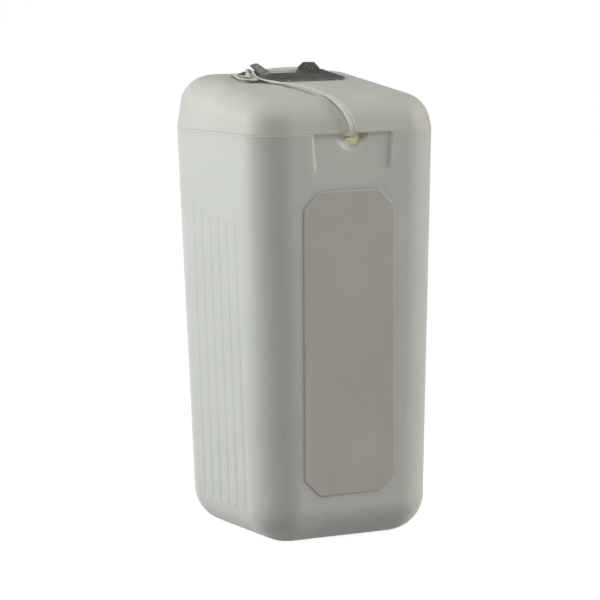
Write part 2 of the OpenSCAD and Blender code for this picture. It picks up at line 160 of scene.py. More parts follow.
def tidy(piece, near=0.002):
    """Merges corners that are nearer than a distance in mm, and turns every face outward"""
    pick(piece, "VERT", lambda corner: True)
    bpy.ops.mesh.remove_doubles(threshold=near * MM)
    bpy.ops.mesh.select_all(action="SELECT")
    bpy.ops.mesh.normals_make_consistent(inside=False)
    leave_edit()


def join(name, pieces):
    choose(pieces[0])
    for piece in pieces[1:]:
        piece.select_set(True)
    bpy.ops.object.join()
    bpy.context.object.name = name
    bpy.context.object.data.name = name
    return bpy.context.object


def smooth_by(piece, degrees):
    choose(piece)
    bpy.ops.object.shade_smooth_by_angle(angle=math.radians(degrees))


def soften(piece, width, degrees=28, segments=2, share=lambda edge: 1):
    """Rounds the edges that are sharper than an angle, each by its share of the width"""
    sketch = bmesh.new()
    sketch.from_mesh(piece.data)
    weight = sketch.edges.layers.float.new("bevel_weight_edge")
    for edge in sketch.edges:
        if edge.is_manifold and edge.calc_face_angle() > math.radians(degrees):
            edge[weight] = share(edge)
    sketch.to_mesh(piece.data)
    sketch.free()
    finish_with(piece, "BEVEL", width=width * MM, segments=segments, limit_method="WEIGHT",
                use_clamp_overlap=True, loop_slide=False)


def even_normals(piece):
    finish_with(piece, "WEIGHTED_NORMAL", keep_sharp=True, weight=50)


def block(name, foot, head):
    """A block from its foot and its head, in mm, each given as the half width in front and behind, and
    the y and z of the front and back corners"""
    bpy.ops.mesh.primitive_cube_add(size=2)
    piece = bpy.context.object
    piece.name = name
    for corner in piece.data.vertices:
        x_front, x_back, y_front, y_back, z_front, z_back = head if corner.co.z > 0 else foot
        front = corner.co.y < 0
        x = x_front if front else x_back
        corner.co = Vector((math.copysign(x, corner.co.x), y_front if front else y_back,
                            z_front if front else z_back)) * MM
    return piece


def rod(name, radius, length, at, axis="Z", sides=64):
    """A rod whose middle is at a point, in mm"""
    turn = {"X": (0, math.pi / 2, 0), "Y": (math.pi / 2, 0, 0), "Z": (0, 0, 0)}[axis]
    bpy.ops.mesh.primitive_cylinder_add(vertices=sides, radius=radius * MM, depth=length * MM,
                                        location=Vector(at) * MM, rotation=turn)
    piece = bpy.context.object
    piece.name = name
    settle(piece)
    return piece


def bar(name, low, high):
    """A square bar between two corners, in mm"""
    bpy.ops.mesh.primitive_cube_add(size=1)
    piece = bpy.context.object
    piece.name = name
    for corner in piece.data.vertices:
        corner.co = Vector([low[i] if corner.co[i] < 0 else high[i] for i in range(3)]) * MM
    return piece


def slab(name, outline, low, high):
    """A flat outline of corners in X and Y raised from one height to another, in mm"""
    bpy.ops.mesh.primitive_circle_add(vertices=len(outline), fill_type="NGON")
    piece = bpy.context.object
    piece.name = name
    for corner, (x, y) in zip(piece.data.vertices, outline):
        corner.co = Vector((x, y, low)) * MM
    pick(piece, "FACE", lambda face: True)
    bpy.ops.mesh.extrude_region_move(TRANSFORM_OT_translate={"value": (0, 0, (high - low) * MM)})
    bpy.ops.mesh.select_all(action="SELECT")
    bpy.ops.mesh.normals_make_consistent(inside=False)
    leave_edit()
    return piece


def turned(name, profile, sides):
    """A piece turned about the upright axis from a closed profile of radius and height, in mm"""
    bpy.ops.mesh.primitive_circle_add(vertices=len(profile), fill_type="NOTHING")
    piece = bpy.context.object
    piece.name = name
    for corner, (radius, height) in zip(piece.data.vertices, profile):
        corner.co = Vector((radius, 0, height)) * MM
    pick(piece, "EDGE", lambda edge: True)
    bpy.ops.mesh.spin(steps=sides, angle=2 * math.pi, center=(0, 0, 0), axis=(0, 0, 1))
    bpy.ops.mesh.select_all(action="SELECT")
    bpy.ops.mesh.remove_doubles(threshold=0.001 * MM)
    bpy.ops.mesh.normals_make_consistent(inside=False)
    leave_edit()
    return piece


def to_top(piece):
    """Moves a piece from the frame of the cap's sloping top to its place"""
    piece.data.transform(Matrix.Translation(Vector((0, 0, SEAM + CAP_TOP)) * MM)
                         @ Matrix.Rotation(CAP_TILT, 4, "X"))
    return piece


# The floss

def along(points, steps):
    """Points of a smooth curve through a list of points"""
    places = [Vector(p) for p in points]
    last = len(places) - 1
    line = []
    for i in range(last):
        a, b = places[max(i - 1, 0)], places[i]
        c, d = places[i + 1], places[min(i + 2, last)]
        for k in range(steps):
            t = k / steps
            line.append((2 * b + (c - a) * t + (2 * a - 5 * b + 4 * c - d) * t ** 2
                         + (3 * b - a - 3 * c + d) * t ** 3) / 2)
    return line + [places[last]]


def from_exit(route):
    """A route in metres from places in mm, counted from the middle of the front at the seam"""
    return [(x * MM, (y - CASE_HALF[1]) * MM, (z + SEAM) * MM) for x, y, z in route]


RIBBON_ROUTE = from_exit([
    (0, 1.5, -0.95), (0, 0.4, -0.9), (-0.2, -0.4, -0.3), (-0.5, -0.7, 0.9),
    (-0.9, -0.6, 2.3), (-1.5, 0.1, 3.9), (-2.2, 1.5, 5.3), (-2.5, 3.8, 6.2),
    (-2.4, 6.4, 6.65), (-1.9, 9.75, 7.05), (-1.7, 12.5, 7.35), (-2.3, 16.3, 7.85),
    (-4.2, 18.6, 8.2), (-6.2, 20.5, 8.6), (-7.1, 22.6, 9), (-7.2, 24.45, 9.45),
    (-6.9, 26.1, 10.05), (-6.75, 27.35, 10.35), (-7.15, 27.85, 10.35),
    (-7.45, 27.2, 10.2), (-7.9, 25.5, 9.8), (-8.6, 23.8, 9.4), (-9.3, 22.5, 9.15),
    (-9.9, 22.6, 9.1), (-10, 24.2, 9.25), (-9.95, 26.2, 9.45), (-9.9, 28.3, 9.65)])
RIBBON_ACROSS = [
    (1, 0, 0), (1, 0, 0), (1, 0, 0), (1, 0, 0), (1, 0, 0), (1, 0, 0), (1, 0, 0),
    (1, 0, 0), (1, 0, 0), (1, 0, 0), (1, 0.2, 0), (0.9, 0.4, 0), (0.6, 0.8, 0),
    (0.8, 0.5, 0), (0.9, 0.2, -0.2), (0.85, 0.2, -0.4), (0.8, 0.25, -0.5),
    (0.75, 0.3, -0.6), (0.75, 0.3, -0.6), (0.75, 0.3, -0.6), (0.8, 0.1, -0.5),
    (0.9, -0.3, -0.3), (0.5, -0.8, -0.2), (-0.8, -0.5, 0), (-1, -0.1, 0),
    (-1, 0, 0), (-1, 0, 0)]
LEAD_ROUTE = from_exit([
    (3.2, 6.3, -16.7), (2.6, 5.8, -13.9), (1.6, 5.3, -8.9), (0.7, 4.8, -4.4), (0.2, 4.4, -2.1),
    (0, 3.6, -1.1), (0, 2.5, -0.95), (0, 1.5, -0.95)])
LEAD_ACROSS = [(1, 0, 0)] * 8
FLOSS_WIDE = 1.55 * MM
FLOSS_THICK = 0.16 * MM
STRANDS = 7
STRAND_SIDES = 6
CURVE_STEPS = 6
STRAND_SPAN = 0.86


def twist_frames(route, across):
    """Places along a route, each with the way across the floss and the way up from it"""
    line, wide = along(route, CURVE_STEPS), along(across, CURVE_STEPS)
    frames = []
    for i, place in enumerate(line):
        way = (line[min(i + 1, len(line) - 1)] - line[max(i - 1, 0)]).normalized()
        side = (wide[i] - way * wide[i].dot(way)).normalized()
        frames.append((place, side, way.cross(side)))
    return frames


def tape(name, frames, spread):
    """Flat floss: strands side by side, each a closed tube of six sides. spread(t, share) says how far
    a strand lies from the middle, as shares of the width and of the thickness, and its own width."""
    shape = bpy.data.meshes.new(name)
    sketch = bmesh.new()
    overlap = 1.15
    for strand in range(STRANDS):
        share = (strand + 0.5) / STRANDS * 2 - 1
        rings = []
        for i, (place, side, up) in enumerate(frames):
            out, lift, width = spread(i / (len(frames) - 1), share)
            middle = place + side * (out * FLOSS_WIDE / 2) + up * (lift * FLOSS_THICK)
            half = width * FLOSS_WIDE / STRANDS / 2 * overlap
            ring = []
            for k in range(STRAND_SIDES):
                angle = 2 * math.pi * k / STRAND_SIDES
                ring.append(sketch.verts.new(
                    middle + side * (half * math.cos(angle)) + up * (FLOSS_THICK / 2 * math.sin(angle))))
            rings.append(ring)
        for one, two in zip(rings, rings[1:]):
            for k in range(STRAND_SIDES):
                after = (k + 1) % STRAND_SIDES
                sketch.faces.new((one[k], one[after], two[after], two[k]))
        sketch.faces.new(rings[0][::-1])
        sketch.faces.new(rings[-1])
    bmesh.ops.recalc_face_normals(sketch, faces=sketch.faces)
    sketch.to_mesh(shape)
    sketch.free()
    piece = bpy.data.objects.new(name, shape)
    bpy.context.scene.collection.objects.link(piece)
    return piece


def ease(t, low, high):
    t = min(max((t - low) / (high - low), 0), 1)
    return t * t * (3 - 2 * t)


def while_in(t, start, full, fading, gone):
    """A soft share of a stretch: it rises from start to full, and falls from fading to gone"""
    return ease(t, start, full) * (1 - ease(t, fading, gone))


def ribbon_spread(t, share):
    """The strands draw in a little on the cap's slope, bunch up under the hook tooth's tip, fan out
    below it, part in two at the plate's corner, and meet again at the cut end"""
    waist = while_in(t, 0.24, 0.32, 0.42, 0.5)
    tip = while_in(t, 0.58, 0.65, 0.70, 0.80)
    fan = while_in(t, 0.72, 0.82, 0.84, 0.90)
    end = max(t - 0.88, 0) / 0.12
    fan_reach = 0.35 if share < 0 else 0.75
    bunch = (1 - 0.15 * waist - 0.6 * tip + fan_reach * fan) * (1 - 0.85 * end)
    parted = ease(t, 0.80, 0.88) * (1 - end) * (1.15 if share > 0 else -1.6)
    lift = 0.18 * math.sin(7 * share + 40 * t) + 0.35 * math.sin(2.4 * share + 9 * t)
    return share * STRAND_SPAN * bunch + parted, lift, 1 - 0.35 * tip - 0.4 * end


def lead_spread(t, share):
    return share * STRAND_SPAN, 0.2 * math.sin(7 * share), 1


def make_ribbon():
    frames = twist_frames(RIBBON_ROUTE, RIBBON_ACROSS)
    ribbon = tape("ribbon_of_floss", frames, ribbon_spread)
    ribbon.data.materials.append(floss_finish())
    smooth_by(ribbon, 70)
    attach(ribbon, "lid")
    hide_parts("floss_ribbon")


def make_lead():
    lead = tape("lead_of_floss", twist_frames(LEAD_ROUTE, LEAD_ACROSS), lead_spread)
    lead.data.materials.append(floss_finish())
    smooth_by(lead, 70)
    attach(lead, "case")
    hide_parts("floss_lead")


# Finishes

def new_finish(name):
    finish = bpy.data.materials.new(name)
    finish.use_nodes = True
    tree = finish.node_tree
    return finish, tree.nodes, tree.links, tree.nodes["Principled BSDF"]


def set_sockets(shader, **values):
    """Sets a shader's sockets by name, with _ for each space"""
    for name, value in values.items():
        shader.inputs[name.replace("_", " ")].default_value = value


def colour(red, green, blue):
    """A colour as it looks on a screen, from 0 to 255, as the shader takes it"""
    def linear(v):
        v /= 255
        return v / 12.92 if v <= 0.04045 else ((v + 0.055) / 1.055) ** 2.4
    return (linear(red), linear(green), linear(blue), 1)


def place_noise(nodes, links, scale, detail=4, rough=0.55, stretch=(1, 1, 1)):
    """Noise that stays fixed to the piece"""
    where = nodes.new("ShaderNodeTexCoord")
    mapping = nodes.new("ShaderNodeMapping")
    mapping.inputs["Scale"].default_value = stretch
    noise = nodes.new("ShaderNodeTexNoise")
    noise.inputs["Scale"].default_value = scale
    noise.inputs["Detail"].default_value = detail
    noise.inputs["Roughness"].default_value = rough
    links.new(where.outputs["Object"], mapping.inputs["Vector"])
    links.new(mapping.outputs["Vector"], noise.inputs["Vector"])
    return noise.outputs["Fac"]


def colour_by(nodes, links, value, stops):
    ramp = nodes.new("ShaderNodeValToRGB")
    while len(ramp.color_ramp.elements) < len(stops):
        ramp.color_ramp.elements.new(0.5)
    for element, (place, tint) in zip(ramp.color_ramp.elements, stops):
        element.position = place
        element.color = tint
    links.new(value, ramp.inputs["Fac"])
    return ramp.outputs["Color"]


def range_of(nodes, links, value, low, high):
    """Spreads a noise, whose values lie mostly from 0.3 to 0.7, between two values"""
    span = nodes.new("ShaderNodeMapRange")
    span.inputs["From Min"].default_value = 0.3
    span.inputs["From Max"].default_value = 0.7
    span.inputs["To Min"].default_value = low
    span.inputs["To Max"].default_value = high
    links.new(value, span.inputs["Value"])
    return span.outputs["Result"]


def bump_from(nodes, links, shader, value, strength, depth):
    bump = nodes.new("ShaderNodeBump")
    bump.inputs["Strength"].default_value = strength
    bump.inputs["Distance"].default_value = depth
    links.new(value, bump.inputs["Height"])
    links.new(bump.outputs["Normal"], shader.inputs["Normal"])


FINISHES = {}


def milky_plastic(name, light, dark, milk=0.8, rough=(0.38, 0.48), depth=3.0):
    """Clouded plastic between two colours: milk is the share of light that goes in, depth how far, in mm"""
    finish, nodes, links, shader = new_finish(name)
    cloudy = place_noise(nodes, links, 60, detail=3)
    fine = place_noise(nodes, links, 5200, detail=2)
    links.new(colour_by(nodes, links, cloudy, [(0.3, dark), (0.7, light)]), shader.inputs["Base Color"])
    links.new(range_of(nodes, links, cloudy, *rough), shader.inputs["Roughness"])
    bump_from(nodes, links, shader, fine, 0.12, 0.00004)
    set_sockets(shader, Subsurface_Weight=milk, Subsurface_Scale=depth * MM, IOR=1.49,
                Specular_IOR_Level=0.4)
    shader.inputs["Subsurface Radius"].default_value = (1.0, 0.9, 0.6)
    return finish


def share_of(nodes, links, value, full, none):
    """A soft share: 1 where the value is at full or past it, and 0 from none on"""
    share = nodes.new("ShaderNodeMapRange")
    share.interpolation_type = "SMOOTHSTEP"
    share.inputs["From Min"].default_value = full
    share.inputs["From Max"].default_value = none
    share.inputs["To Min"].default_value = 1.0
    share.inputs["To Max"].default_value = 0.0
    links.new(value, share.inputs["Value"])
    return share.outputs["Result"]


def combine(nodes, links, kind, one, other):
    """A step of arithmetic on two values, each a socket or a plain number"""
    step = nodes.new("ShaderNodeMath")
    step.operation = kind
    for socket, value in zip(step.inputs, (one, other)):
        if isinstance(value, float):
            socket.default_value = value
        else:
            links.new(value, socket)
    return step.outputs[0]


def case_plastic():
    """The case's plastic, with painted light round the floss's exit and along the rim: a warm tint and
    a faint glow there stand in for the light that shines through the thin plastic"""
    # Where the painted glow lies: round the exit, and in a band just below the seam
    exit_middle, exit_full, exit_none = (0.4, -18.1, 73.0), 0.7, 1.7
    rim_full, rim_none, rim_glow_share, glow = SEAM - 0.16, SEAM - 0.3, 0.5, 0.26
    finish = milky_plastic("milky_case_plastic", colour(221, 222, 216), colour(213, 215, 208))
    nodes, links = finish.node_tree.nodes, finish.node_tree.links
    shader = nodes["Principled BSDF"]
    where = nodes.new("ShaderNodeTexCoord")
    apart = nodes.new("ShaderNodeVectorMath")
    apart.operation = "DISTANCE"
    apart.inputs[1].default_value = Vector(exit_middle) * MM
    links.new(where.outputs["Object"], apart.inputs[0])
    exit_share = share_of(nodes, links, apart.outputs["Value"], exit_full * MM, exit_none * MM)
    height = nodes.new("ShaderNodeSeparateXYZ")
    links.new(where.outputs["Object"], height.inputs[0])
    rim_share = share_of(nodes, links, height.outputs["Z"], rim_full * MM, rim_none * MM)
    rim_share = combine(nodes, links, "MULTIPLY", rim_share, rim_glow_share)
    # Painted light: the warm tint and the emission below stand in for light coming through the thin plastic
    painted_glow_share = combine(nodes, links, "MAXIMUM", exit_share, rim_share)
    painted_glow_tint = nodes.new("ShaderNodeMix")
    painted_glow_tint.data_type = "RGBA"
    painted_glow_tint.inputs["B"].default_value = colour(240, 234, 200)
    links.new(painted_glow_share, painted_glow_tint.inputs["Factor"])
    links.new(shader.inputs["Base Color"].links[0].from_socket, painted_glow_tint.inputs["A"])
    links.new(painted_glow_tint.outputs["Result"], shader.inputs["Base Color"])
    links.new(combine(nodes, links, "MULTIPLY", painted_glow_share, glow), shader.inputs["Emission Strength"])
    shader.inputs["Emission Color"].default_value = colour(236, 228, 182)
    return finish


def floss_finish():
    if "floss" in FINISHES:
        return FINISHES["floss"]
    finish, nodes, links, shader = new_finish("waxed_floss")
    fibres = place_noise(nodes, links, 900, detail=3, stretch=(6, 1, 1))
    links.new(colour_by(nodes, links, fibres, [(0.3, colour(226, 224, 214)), (0.7, colour(246, 245, 238))]),
              shader.inputs["Base Color"])
    bump_from(nodes, links, shader, fibres, 0.2, 0.00005)
    set_sockets(shader, Roughness=0.35, Sheen_Weight=0.25, Subsurface_Weight=0.2, Subsurface_Scale=0.0005)
    FINISHES["floss"] = finish
    return finish


def cutter_steel(name, light, dark):
    finish, nodes, links, shader = new_finish(name)
    specks = place_noise(nodes, links, 2600, detail=5, rough=0.7)
    grain = place_noise(nodes, links, 1500, detail=3, stretch=(1, 14, 1))
    links.new(colour_by(nodes, links, specks, [(0.34, dark), (0.6, light), (0.72, colour(214, 212, 207))]),
              shader.inputs["Base Color"])
    links.new(range_of(nodes, links, grain, 0.4, 0.6), shader.inputs["Roughness"])
    bump_from(nodes, links, shader, specks, 0.25, 0.00004)
    set_sockets(shader, Metallic=0.5)
    return finish


def drawn_wire(name):
    finish, nodes, links, shader = new_finish(name)
    lines = place_noise(nodes, links, 900, detail=3, stretch=(0.1, 1, 1))
    links.new(colour_by(nodes, links, lines, [(0.3, colour(150, 150, 152)), (0.7, colour(205, 205, 206))]),
              shader.inputs["Base Color"])
    bump_from(nodes, links, shader, lines, 0.2, 0.00003)
    set_sockets(shader, Metallic=1.0, Roughness=0.32)
    return finish


def label_paper(name):
    finish, nodes, links, shader = new_finish(name)
    mottle = place_noise(nodes, links, 90, detail=4)
    fibre = place_noise(nodes, links, 2400, detail=4, rough=0.65)
    links.new(colour_by(nodes, links, mottle, [(0.3, colour(191, 187, 179)), (0.7, colour(199, 195, 187))]),
              shader.inputs["Base Color"])
    links.new(range_of(nodes, links, fibre, 0.5, 0.62), shader.inputs["Roughness"])
    bump_from(nodes, links, shader, fibre, 0.1, 0.00003)
    return finish


# The forms of the case and the cap, both hollow blocks with rounded corners

def case_form(name, inset, low, high):
    """The case's outside, or its inside drawn in by a wall, between two heights in mm"""
    def half(height):
        return (CASE_HALF[0] - SIDE_LEAN * (SEAM - height) - inset,
                CASE_HALF[1] - FRONT_LEAN * (SEAM - height) - inset)
    foot, head = half(low), half(high)
    # A bevel's offset as a share of its radius, where the walls lean out from the foot
    foot_share = 0.977
    form = block(name, (foot[0], foot[0], -foot[1], foot[1], low, low),
                 (head[0], head[0], -head[1], head[1], high, high))
    pick(form, "EDGE", lambda e: abs(e.verts[0].co.z - e.verts[1].co.z) > 10 * MM)
    bpy.ops.mesh.bevel(offset=(CORNER - inset) * MM, segments=20, affect="EDGES", profile=0.5)
    pick(form, "EDGE", lambda e: all(v.co.z < (low + 0.01) * MM for v in e.verts))
    bpy.ops.mesh.bevel(offset=(FOOT_ROUND - inset) * foot_share * MM, segments=14, affect="EDGES",
                       profile=0.5)
    leave_edit()
    return form


def round_disc(name, radius, edge, sides):
    """A disc with its widest circle below and its upper edge rounded, in mm"""
    steps = 24
    arc = [(radius - edge + edge * math.cos(math.radians(90 * i / steps)),
            edge * math.sin(math.radians(90 * i / steps))) for i in range(steps + 1)]
    return turned(name, [(0, 0)] + arc + [(0, edge)], sides)


def cap_form(name, inset, depth, low):
    """The cap's outside, or its inside drawn in by a wall and lowered by the top's thickness"""
    radius = CORNER - inset
    edge = CAP_ROUND - inset
    slope, fall = math.tan(CAP_TILT), math.cos(CAP_TILT)
    base_x, base_y = CASE_HALF[0] - inset - radius, CASE_HALF[1] - inset - radius
    rim_tall, rim_middle = 1, low - 0.48
    sides = 128
    corners = []
    for j in (-1, 1):
        height = CAP_TOP + slope * j * base_y - (depth + edge) / fall
        lean = CAP_LEAN * (height + edge / 4)
        y = (j * (base_y - lean) - (depth + edge) * math.sin(CAP_TILT)) / fall
        for i in (-1, 1):
            corner = round_disc("cap_corner", radius, edge, sides)
            corner.data.transform(Matrix.Translation(Vector((i * (base_x - lean), y, -depth - edge)) * MM))
            corners.append(to_top(corner))
            corners.append(rod("rim_corner", radius, rim_tall, (i * base_x, j * base_y, rim_middle), "Z",
                               sides))
    form = join(name, corners)
    pick(form, "VERT", lambda corner: True)
    bpy.ops.mesh.delete(type="EDGE_FACE")
    bpy.ops.mesh.select_all(action="SELECT")
    bpy.ops.mesh.convex_hull(use_existing_faces=False, face_threshold=math.radians(1),
                             shape_threshold=math.radians(40))
    bpy.ops.mesh.select_all(action="DESELECT")
    bpy.ops.mesh.select_loose()
    bpy.ops.mesh.delete(type="VERT")
    bpy.ops.mesh.select_all(action="SELECT")
    bpy.ops.mesh.bisect(plane_co=(0, 0, low * MM), plane_no=(0, 0, 1), use_fill=True, clear_inner=True)
    leave_edit()
    tidy(form, 0.012)
    return form


# The hinge

def gusset(width, side, x):
    """A wedge between the back wall and a knuckle, above or below the hinge line, in mm"""
    back, gap, tall = 2.35, 0.075, 4
    out = KNUCKLE_RADIUS * math.cos(math.radians(45))
    corners = [(-back, side * gap), (0, side * gap), (out, side * out), (-back, side * tall)]
    wedge = slab("gusset", corners, -width / 2, width / 2)
    wedge.data.transform(Matrix(((0, 0, 1, x * MM), (1, 0, 0, HINGE[0] * MM), (0, 1, 0, HINGE[1] * MM),
                                 (0, 0, 0, 1))))
    tidy(wedge)
    return wedge


def add_knuckle(piece, width, side, x):
    """Joins a knuckle and the wedge that carries it to the case or the cap"""
    carve(piece, gusset(width, side, x), "UNION")
    carve(piece, rod("knuckle", KNUCKLE_RADIUS, width, (x, HINGE[0], HINGE[1]), "X"), "UNION")


def bore_hinge(piece, radius, length):
    carve(piece, rod("hinge_bore", radius, length, (0, HINGE[0], HINGE[1]), "X"))


# The case

def grip_grooves():
    """Six wide and shallow grooves on each side, their tops stepping down to the front"""
    half, depth, pitch, middle, low = 0.55, 0.13, 3.46, -0.95, 4.6
    top, top_slope, count = 58.6, 0.133, 6
    radius = (half ** 2 + depth ** 2) / (2 * depth)
    grooves = []
    for side in (-1, 1):
        for i in range(count):
            y = middle + (i - (count - 1) / 2) * pitch
            high = top + top_slope * (y - middle)
            bpy.ops.mesh.primitive_uv_sphere_add(segments=72, ring_count=36, radius=radius * MM)
            groove = bpy.context.object
            groove.data.transform(Matrix.Diagonal((1, 1, half / radius, 1)))
            pick(groove, "VERT", lambda v: v.co.z > 0.0001 * MM)
            bpy.ops.transform.translate(value=(0, 0, (high - low) * MM))
            leave_edit()
            x = CASE_HALF[0] - SIDE_LEAN * (SEAM - low) + radius - depth
            groove.data.transform(Matrix.Translation(Vector((side * x, y, low)) * MM)
                                  @ Matrix.Rotation(side * math.atan(SIDE_LEAN), 4, "Y"))
            grooves.append(groove)
    return join("grip_grooves", grooves)


def front_half(height):
    """How far the leaning front stands from the middle at a height, in mm"""
    return CASE_HALF[1] - FRONT_LEAN * (SEAM - height)


def on_front(piece, x, deep, low):
    """Stands a flat piece up on the leaning front, some way into it, with its foot at a height"""
    piece.data.transform(Matrix.Translation(Vector((x, deep - front_half(low), low)) * MM)
                         @ Matrix.Rotation(math.pi / 2 + math.atan(FRONT_LEAN), 4, "X"))


def thumb_recess():
    """A shallow recess whose side walls slope a little and whose lower wall runs out softly"""
    half, taper, high, reach, corner_round = 8.15, 0.6, 7.8, 1.6, 0.8
    side_slope, foot_slope = 0.45, 1.05
    low = SEAM - high
    wide, deep = reach / RECESS_DEEP * side_slope, reach / RECESS_DEEP * foot_slope
    tool = slab("thumb_recess", [(-half + taper, 0), (half - taper, 0), (half, high), (half, high + 1),
                                 (-half, high + 1), (-half, high)], 0, reach)
    for corner in tool.data.vertices:
        if corner.co.z > reach / 2 * MM:
            corner.co.x += math.copysign((wide - side_slope) * MM, corner.co.x)
            corner.co.y -= (deep - foot_slope) * MM if corner.co.y < high / 2 * MM else 0
        else:
            corner.co.x -= math.copysign(side_slope * MM, corner.co.x)
            corner.co.y += foot_slope * MM if corner.co.y < high / 2 * MM else 0
    pick(tool, "EDGE", lambda e: all(v.co.y < high / 2 * MM for v in e.verts)
         and abs(e.verts[0].co.z - e.verts[1].co.z) > 1 * MM)
    bpy.ops.mesh.bevel(offset=corner_round * MM, segments=8, affect="EDGES")
    leave_edit()
    on_front(tool, 0, RECESS_DEEP, low)
    return tool


def inner_blocks(rim):
    """The blocks inside the front wall, behind the recess and the exit, and the boss on the floor"""
    pad_half, pad_back, pad_low = 9.15, 2.2, SEAM - 9
    block_half, block_back, block_low = 4.5, 3.2, pad_low + 2
    boss_radius, boss_low, boss_tall = 2.6, 0.7, 5.7
    outside, in_wall = -front_half(pad_low), 0.6
    return [bar("pad", (-pad_half, outside + in_wall, pad_low), (pad_half, outside + pad_back, rim)),
            bar("exit_block", (-block_half, outside + in_wall, block_low),
                (block_half, outside + block_back, rim)),
            rod("boss", boss_radius, boss_tall, (0, 0, boss_low + boss_tall / 2))]


def exit_tools():
    """What is cut out for the floss: a round dimple, a notch with a round foot and a slot behind it"""
    mouth, depth = 3.3, 1.1
    notch_half, notch_deep, past_dimple, reach = 1.0, 0.95, 0.6, 10
    slot_half, slot_low, slot_high = 0.74, 1.15, 0.75
    ball = (mouth ** 2 + depth ** 2) / (2 * depth)
    face = RECESS_DEEP - front_half(SEAM)
    bpy.ops.mesh.primitive_uv_sphere_add(segments=64, ring_count=48, radius=ball * MM,
                                         location=Vector((0, face - ball + depth, SEAM)) * MM)
    dimple = bpy.context.object
    settle(dimple)
    back = face + depth + past_dimple
    return [dimple,
            rod("notch_round", notch_half, reach, (0, back - reach / 2, SEAM - notch_deep), "Y"),
            bar("notch", (-notch_half, back - reach, SEAM - notch_deep), (notch_half, back, SEAM + 1)),
            bar("floss_slot", (-slot_half, back - 1, SEAM - slot_low),
                (slot_half, back + 4, SEAM - slot_high))]


def make_case():
    rim = SEAM - SEAM_GAP / 2
    case = case_form("milky_case", 0, 0, rim)
    carve(case, case_form("case_inside", WALL, FLOOR, SEAM + 1))
    for piece in inner_blocks(rim):
        carve(case, piece, "UNION")
    for tool in [grip_grooves(), thumb_recess()] + exit_tools():
        carve(case, tool)
    for side in (-1, 1):
        add_knuckle(case, CASE_KNUCKLE, -1, side * (HINGE_HALF - CASE_KNUCKLE / 2))
    bore_hinge(case, PIN_RADIUS, 24)
    tidy(case)
    rim_share, near = 0.6, (rim - EDGE_ROUND) * MM
    soften(case, EDGE_ROUND, share=lambda edge: rim_share if edge.verts[0].co.z > near else 1)
    smooth_by(case, 40)
    even_normals(case)
    case.data.materials.append(case_plastic())
    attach(case, "case")
    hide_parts("body_shell")


# The cap

def inset_outline(inset, radius):
    """The case's outline at the seam, drawn in and with rounded corners"""
    half_x, half_y = CASE_HALF[0] - inset, CASE_HALF[1] - inset
    steps = 16
    corners = []
    for cx, cy, start in ((1, 1, 0), (-1, 1, 90), (-1, -1, 180), (1, -1, 270)):
        for k in range(steps + 1):
            angle = math.radians(start + 90 * k / steps)
            corners.append((cx * (half_x - radius) + radius * math.cos(angle),
                            cy * (half_y - radius) + radius * math.sin(angle)))
    return corners


def locating_lip():
    """The lip inside the cap's rim, open in front where the pad of the case stands"""
    gap, thick, deep, root, in_wall, gap_half = 0.3, 1.0, 2.0, 1.5, 0.6, 10.65
    outer = WALL + gap
    inner = outer + thick
    rim = SEAM + SEAM_GAP / 2
    lip = slab("locating_lip", inset_outline(outer, CORNER - WALL), SEAM - deep, SEAM + root)
    carve(lip, slab("lip_root", inset_outline(in_wall, CORNER - in_wall), rim, SEAM + root), "UNION")
    carve(lip, slab("lip_hollow", inset_outline(inner, CORNER - inner), SEAM - 4, SEAM + 4))
    carve(lip, bar("lip_gap", (-gap_half, -25, SEAM - 4), (gap_half, -CASE_HALF[1] / 2, rim)))
    return lip


def back_ridge():
    """A low ridge behind the cutter, arched from side to side"""
    half, high, deep, root, middle, gap, steps = 7.7, 0.6, 2.2, 0.85, 4.5, 0.2, 16
    radius = (half ** 2 + high ** 2) / (2 * high)
    reach = math.asin(half / radius)
    arch = [(radius * math.sin(reach * k / steps), radius * math.cos(reach * k / steps) - radius + high)
            for k in range(steps, -steps - 1, -1)]
    ridge = slab("back_ridge", [(-half, -root), (half, -root)] + arch, 0, deep)
    ridge.data.transform(Matrix.Translation(Vector((middle, PLATE_BACK + gap + deep, 0)) * MM)
                         @ Matrix.Rotation(math.pi / 2, 4, "X"))
    soften(ridge, 0.35, 60, 4)
    return ridge


def finger_dish():
    """The ball that hollows the round dish out of the cap's sloping top"""
    dish, depth, place = 7.4, 0.95, -6.6
    ball = (dish ** 2 + depth ** 2) / (2 * depth)
    bpy.ops.mesh.primitive_uv_sphere_add(segments=96, ring_count=256, radius=ball * MM,
                                         location=Vector((0, place, ball - depth)) * MM)
    bowl = bpy.context.object
    settle(bowl)
    return bowl


def leg_slot(x):
    """A slot through the cap for a leg of the cutter, a little larger than the leg"""
    half_x, half_y, low, high = PLATE_THICK / 2 + LEG_GAP, LEG_HALF + LEG_GAP, -4.25, 0.85
    return bar("leg_slot", (x - half_x, LEG_Y - half_y, low), (x + half_x, LEG_Y + half_y, high))


def make_cap():
    rim = SEAM + SEAM_GAP / 2
    cap = cap_form("milky_cap", 0, 0, rim)
    carve(cap, cap_form("cap_inside", WALL, CAP_THICK, rim - 1))
    carve(cap, locating_lip(), "UNION")
    carve(cap, to_top(back_ridge()), "UNION")
    carve(cap, to_top(finger_dish()))
    for x in LEG_PLACES:
        carve(cap, to_top(leg_slot(x)))
    add_knuckle(cap, CAP_KNUCKLE, 1, 0)
    bore_hinge(cap, PIN_BORE, 12)
    tidy(cap)
    rim_share, near = 0.1, (rim + EDGE_ROUND) * MM
    soften(cap, EDGE_ROUND, share=lambda edge: rim_share if edge.verts[0].co.z < near else 1)
    smooth_by(cap, 9)
    even_normals(cap)
    cap.data.materials.append(milky_plastic("milky_cap_plastic", colour(214, 214, 206),
                                            colour(206, 207, 199), rough=(0.5, 0.6), depth=1.0))
    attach(cap, "lid")
    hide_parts("lid_shell")


# The cutter

